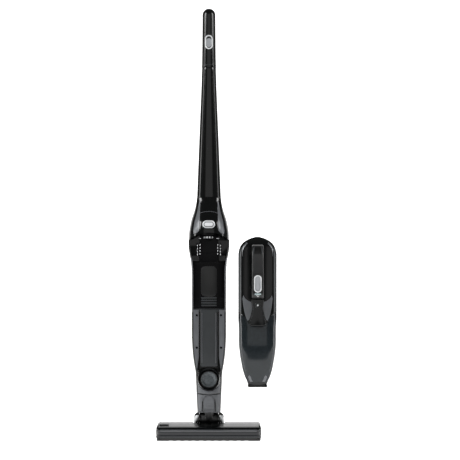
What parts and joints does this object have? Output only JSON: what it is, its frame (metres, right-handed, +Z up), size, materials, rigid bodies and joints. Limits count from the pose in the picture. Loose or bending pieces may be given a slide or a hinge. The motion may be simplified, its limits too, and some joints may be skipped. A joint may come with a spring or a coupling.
{
  "type": "cordless stick vacuum",
  "caption": "Upright cordless stick vacuum with a powered floor head, a tilting and swivelling neck, and a dock whose bar-handled hand unit stands lifted out beside it.",
  "frame": {"origin": "on the floor under the upright stick's axis, on the sole of the floor head", "axes": "+Z up along the stick, -Y towards the front, +X towards the side where the hand unit stands"},
  "size_m": [0.3037, 0.2226, 1.1],
  "materials": {
    "gloss_black": "gloss",
    "satin_black": "satin",
    "dark_grey": "satin",
    "mid_grey": "satin",
    "silver": "polished",
    "steel": "brushed",
    "brass": "polished",
    "rubber": "matte",
    "smoke_clear": "gloss",
    "filter_media": "matte",
    "light_lens": "gloss",
    "bristle": "matte"
  },
  "bodies": {
    "floor_head": {"head_base": "satin_black", "head_cover": "gloss_black", "front_bumper": "dark_grey", "end_cap_right": "satin_black", "end_cap_left": "satin_black", "sole_plate": "satin_black", "cover_inlay": "dark_grey", "head_duct": "dark_grey", "brush_motor": "steel", "drive_belt": "rubber", "pivot_cap_left": "silver", "pivot_cap_right": "silver"},
    "brush_roll": {"brush_core": "dark_grey", "bristle_strip_1": "bristle", "bristle_strip_2": "bristle"},
    "motor_drive": {"motor_pulley": "steel"},
    "left_wheel": {"wheel_left": "rubber"},
    "right_wheel": {"wheel_right": "rubber"},
    "knuckle": {"knuckle_shell": "satin_black"},
    "stick": {"neck_lower": "dark_grey", "neck_upper": "mid_grey", "bowl_ring": "gloss_black", "port_collar": "mid_grey", "frame_spine": "satin_black", "dock_liner": "satin_black", "cable_cover": "dark_grey", "side_panel_left": "mid_grey", "side_panel_right": "mid_grey", "panel_screw_left_1": "steel", "panel_screw_left_2": "steel", "panel_screw_right_1": "steel", "panel_screw_right_2": "steel", "hood_shell": "gloss_black", "contact_block": "satin_black", "contact_pin_left": "brass", "contact_pin_right": "brass", "handle_front": "gloss_black", "handle_back": "satin_black", "grip_sleeve": "gloss_black", "switch_bezel": "silver"},
    "power_slider": {"power_switch": "mid_grey"},
    "dock_button": {"release_button": "silver"},
    "dock_latch": {"latch_hook": "dark_grey"},
    "head_tab": {"head_release_tab": "dark_grey"},
    "hand_unit": {"housing_rear": "satin_black", "housing_front": "gloss_black", "bar_handle": "gloss_black", "grip_pad": "rubber", "unit_switch_bezel": "silver", "light_lens": "light_lens", "trunk_cover": "satin_black", "unit_motor": "steel", "battery_pack": "dark_grey"},
    "unit_slider": {"unit_switch": "mid_grey"},
    "bin_button": {"container_button": "dark_grey"},
    "dust_bin": {"dust_container": "smoke_clear", "nose_tip": "satin_black"},
    "flap": {"intake_flap": "rubber"},
    "fan": {"fan_rotor": "dark_grey"},
    "filter": {"filter_cone": "filter_media"}
  },
  "joints": [
    {"name": "brush_spin", "type": "hinge", "parent": "floor_head", "child": "brush_roll", "pos_m": [0, -0.062, 0.0156], "axis": [1, 0, 0], "continuous": true},
    {"name": "motor_spin", "type": "hinge", "parent": "floor_head", "child": "motor_drive", "pos_m": [0, -0.029, 0.0184], "axis": [1, 0, 0], "continuous": true},
    {"name": "wheel_left_spin", "type": "hinge", "parent": "floor_head", "child": "left_wheel", "pos_m": [-0.084, 0.01, 0.009], "axis": [1, 0, 0], "continuous": true},
    {"name": "wheel_right_spin", "type": "hinge", "parent": "floor_head", "child": "right_wheel", "pos_m": [0.084, 0.01, 0.009], "axis": [1, 0, 0], "continuous": true},
    {"name": "neck_tilt", "type": "hinge", "parent": "floor_head", "child": "knuckle", "pos_m": [0, 0.008, 0.046], "axis": [1, 0, 0], "range_deg": [-80, 0]},
    {"name": "head_swivel", "type": "hinge", "parent": "knuckle", "child": "stick", "pos_m": [0, 0, 0.076], "axis": [0, 0, 1], "range_deg": [-60, 60]},
    {"name": "power_slide", "type": "slide", "parent": "stick", "child": "power_slider", "axis": [0, 0, 1], "range_m": [0, 0.005]},
    {"name": "dock_button_press", "type": "slide", "parent": "stick", "child": "dock_button", "axis": [0, 1, 0], "range_m": [0, 0.003], "stiffness_N_per_m": 400},
    {"name": "dock_latch_lift", "type": "slide", "parent": "stick", "child": "dock_latch", "axis": [0, 0, 1], "range_m": [0, 0.003]},
    {"name": "head_tab_press", "type": "slide", "parent": "stick", "child": "head_tab", "axis": [0, 1, 0], "range_m": [0, 0.002], "stiffness_N_per_m": 400},
    {"name": "hand_unit_dock", "type": "slide", "parent": "stick", "child": "hand_unit", "axis": [0.8521, -0.5204, 0.0555], "range_m": [-0.1441, 0]},
    {"name": "unit_switch_slide", "type": "slide", "parent": "hand_unit", "child": "unit_slider", "axis": [0, 0, 1], "range_m": [0, 0.008]},
    {"name": "bin_button_press", "type": "slide", "parent": "hand_unit", "child": "bin_button", "axis": [0, 1, 0], "range_m": [0, 0.0025], "stiffness_N_per_m": 400},
    {"name": "dust_bin_removal", "type": "slide", "parent": "hand_unit", "child": "dust_bin", "axis": [0, 0, -1], "range_m": [0, 0.08]},
    {"name": "intake_flap_swing", "type": "hinge", "parent": "dust_bin", "child": "flap", "pos_m": [0.1228, -0.1109, 0.1753], "axis": [-1, 0, 0], "range_deg": [0, 40], "stiffness_Nm_per_rad": 0.02},
    {"name": "fan_spin", "type": "hinge", "parent": "hand_unit", "child": "fan", "pos_m": [0.1228, -0.119, 0.32], "axis": [0, 0, 1], "continuous": true},
    {"name": "filter_removal", "type": "slide", "parent": "hand_unit", "child": "filter", "axis": [0, 0, -1], "range_m": [0, 0.055]}
  ],
  "couplings": [
    {"joint": "motor_spin", "follows": "brush_spin", "ratio": 1.8889},
    {"joint": "dock_latch_lift", "follows": "dock_button_press", "ratio": 1}
  ]
}
